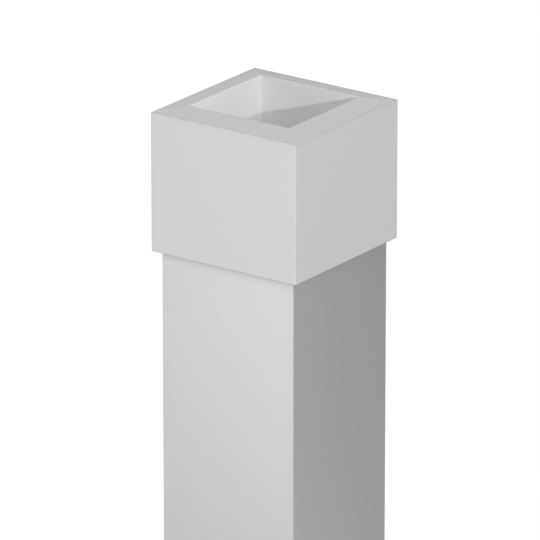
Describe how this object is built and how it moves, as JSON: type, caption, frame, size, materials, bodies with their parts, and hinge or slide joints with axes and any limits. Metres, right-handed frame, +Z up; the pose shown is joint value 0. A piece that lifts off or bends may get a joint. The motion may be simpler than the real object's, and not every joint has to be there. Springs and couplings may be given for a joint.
{
  "type": "square column wrap",
  "caption": "Hollow square column wrap of mitred boards that cases a post, with a plain box collar round its head and a top bevelled to shed water.",
  "frame": {"origin": "centre of the square foot, on the plane that the wrap stands on", "axes": "+Z up along the column, -Y out of the front face, +X out of the right face"},
  "size_m": [0.2222, 0.2222, 0.9998],
  "materials": {
    "shaft_board": "smooth matte light grey cellular PVC board",
    "collar_board": "smooth matte light grey cellular PVC trim"
  },
  "bodies": {
    "root": {"shaft_board_front": "shaft_board", "shaft_board_right": "shaft_board", "shaft_board_back": "shaft_board", "shaft_board_left": "shaft_board", "collar_board_front": "collar_board", "collar_board_right": "collar_board", "collar_board_back": "collar_board", "collar_board_left": "collar_board"}
  },
  "joints": []
}
